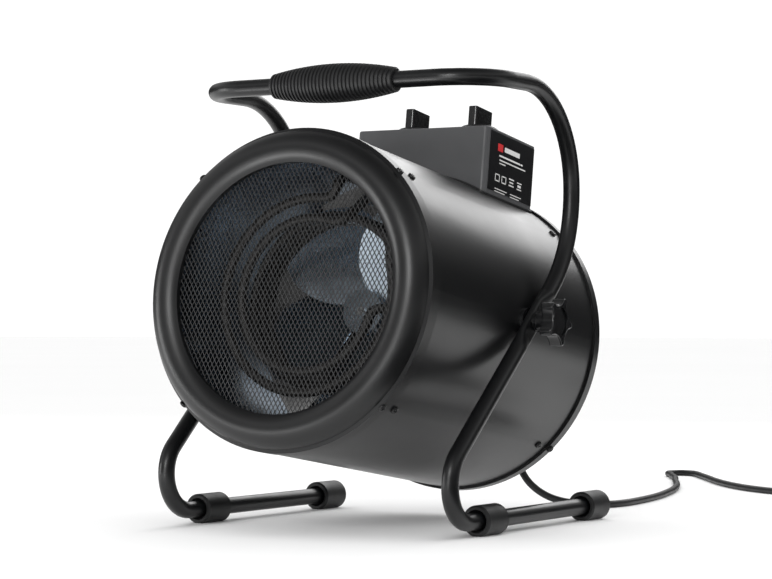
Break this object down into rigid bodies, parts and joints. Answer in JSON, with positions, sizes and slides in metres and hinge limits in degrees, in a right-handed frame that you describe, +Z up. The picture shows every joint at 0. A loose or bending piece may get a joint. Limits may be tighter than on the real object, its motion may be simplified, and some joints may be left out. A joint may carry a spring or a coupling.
{
  "type": "portable drum fan heater",
  "caption": "Cylindrical electric fan heater, tilting between the legs of a bent-tube stand with a ribbed carrying grip, mesh outlet, top control box and mains cord.",
  "frame": {"origin": "on the floor, under the middle of the heater's length and width, without the mains cord", "axes": "+Z up, the hot-air outlet faces -Y, +X to the right when looking along +Y into the outlet"},
  "size_m": [0.5054, 0.9958, 0.4088],
  "materials": {
    "stand_paint": "satin black powder coat",
    "soft_black_rubber": "matt black rubber",
    "cord_rubber": "matt black rubber sheath",
    "plug_rubber": "matt black moulding",
    "plated_pins": "nickel plated",
    "casing_paint": "semi-gloss black enamel",
    "mesh_steel": "dark grey-brown coated steel",
    "galvanised": "galvanised, blue-grey",
    "element_sheath": "dark oxidised sheath",
    "motor_steel": "dull steel",
    "fan_aluminium": "bright aluminium",
    "zinc_steel": "zinc plated",
    "black_screw": "black oxide",
    "plate_print": "dark printed film with plain white marks",
    "moulded_plastic": "black moulded plastic"
  },
  "bodies": {
    "stand": {"stand_tube": "stand_paint", "handle_grip": "soft_black_rubber", "left_front_foot_sleeve": "soft_black_rubber", "left_rear_foot_sleeve": "soft_black_rubber", "right_front_foot_sleeve": "soft_black_rubber", "right_rear_foot_sleeve": "soft_black_rubber", "power_cord": "cord_rubber", "cord_coil": "cord_rubber", "mains_plug": "plug_rubber", "plug_pins": "plated_pins"},
    "drum": {"outer_casing": "casing_paint", "front_bezel": "casing_paint", "front_grille": "mesh_steel", "heat_shield": "galvanised", "heating_element_outer": "element_sheath", "heating_element_middle": "element_sheath", "heating_element_rear": "element_sheath", "terminal_plate": "galvanised", "motor": "motor_steel", "motor_bracket": "galvanised", "rear_ring": "casing_paint", "rear_grille": "casing_paint", "bezel_screw_top_right": "black_screw", "bezel_screw_bottom_right": "black_screw", "bezel_screw_bottom_left": "black_screw", "bezel_screw_top_left": "black_screw", "casing_front_screw_top_right": "black_screw", "casing_front_screw_bottom_right": "black_screw", "casing_front_screw_bottom_left": "black_screw", "casing_front_screw_top_left": "black_screw", "casing_rear_screw_top_right": "black_screw", "casing_rear_screw_bottom_right": "black_screw", "casing_rear_screw_bottom_left": "black_screw", "casing_rear_screw_top_left": "black_screw", "rear_ring_screw_top_right": "black_screw", "rear_ring_screw_bottom_right": "black_screw", "rear_ring_screw_bottom_left": "black_screw", "rear_ring_screw_top_left": "black_screw", "control_box": "casing_paint", "box_gasket": "soft_black_rubber", "rating_plate": "plate_print", "thermostat_unit": "moulded_plastic", "rotary_switch": "moulded_plastic", "cord_gland": "moulded_plastic", "left_pivot_spacer": "moulded_plastic", "left_clamp_nut": "zinc_steel", "right_pivot_spacer": "moulded_plastic", "right_clamp_nut": "zinc_steel"},
    "fan": {"fan_impeller": "fan_aluminium", "motor_shaft": "zinc_steel"},
    "thermostat_dial": {"thermostat_knob": "moulded_plastic", "thermostat_spindle": "zinc_steel"},
    "switch_dial": {"switch_knob": "moulded_plastic", "switch_spindle": "zinc_steel"},
    "left_washer": {"left_clamp_washer": "moulded_plastic"},
    "left_clamp": {"left_clamp_knob": "moulded_plastic", "left_clamp_stud": "zinc_steel"},
    "right_washer": {"right_clamp_washer": "moulded_plastic"},
    "right_clamp": {"right_clamp_knob": "moulded_plastic", "right_clamp_stud": "zinc_steel"}
  },
  "joints": [
    {"name": "drum_tilt", "type": "hinge", "parent": "stand", "child": "drum", "pos_m": [0, 0.018, 0.182], "axis": [-1, 0, 0], "range_deg": [-18.5, 7.5], "deforming": ["power_cord"]},
    {"name": "fan_spin", "type": "hinge", "parent": "drum", "child": "fan", "pos_m": [0, 0.01837, 0.18447], "axis": [0, -0.989, 0.1478], "continuous": true},
    {"name": "thermostat_turn", "type": "hinge", "parent": "drum", "child": "thermostat_dial", "pos_m": [-0.034, 0.12837, 0.35559], "axis": [0, -0.1478, -0.989], "range_deg": [0, 270]},
    {"name": "switch_turn", "type": "hinge", "parent": "drum", "child": "switch_dial", "pos_m": [0.034, 0.12837, 0.35559], "axis": [0, -0.1478, -0.989], "range_deg": [0, 270]},
    {"name": "left_clamp_travel", "type": "slide", "parent": "drum", "child": "left_washer", "axis": [-1, 0, 0], "range_m": [0, 0.00125]},
    {"name": "left_clamp_turn", "type": "hinge", "parent": "left_washer", "child": "left_clamp", "pos_m": [-0.16, 0.018, 0.182], "axis": [-1, 0, 0], "range_deg": [0, 360]},
    {"name": "right_clamp_travel", "type": "slide", "parent": "drum", "child": "right_washer", "axis": [1, 0, 0], "range_m": [0, 0.00125]},
    {"name": "right_clamp_turn", "type": "hinge", "parent": "right_washer", "child": "right_clamp", "pos_m": [0.16, 0.018, 0.182], "axis": [1, 0, 0], "range_deg": [0, 360]}
  ],
  "couplings": [
    {"joint": "left_clamp_turn", "follows": "left_clamp_travel", "rad_per_m": 5026.5},
    {"joint": "right_clamp_turn", "follows": "right_clamp_travel", "rad_per_m": 5026.5}
  ]
}
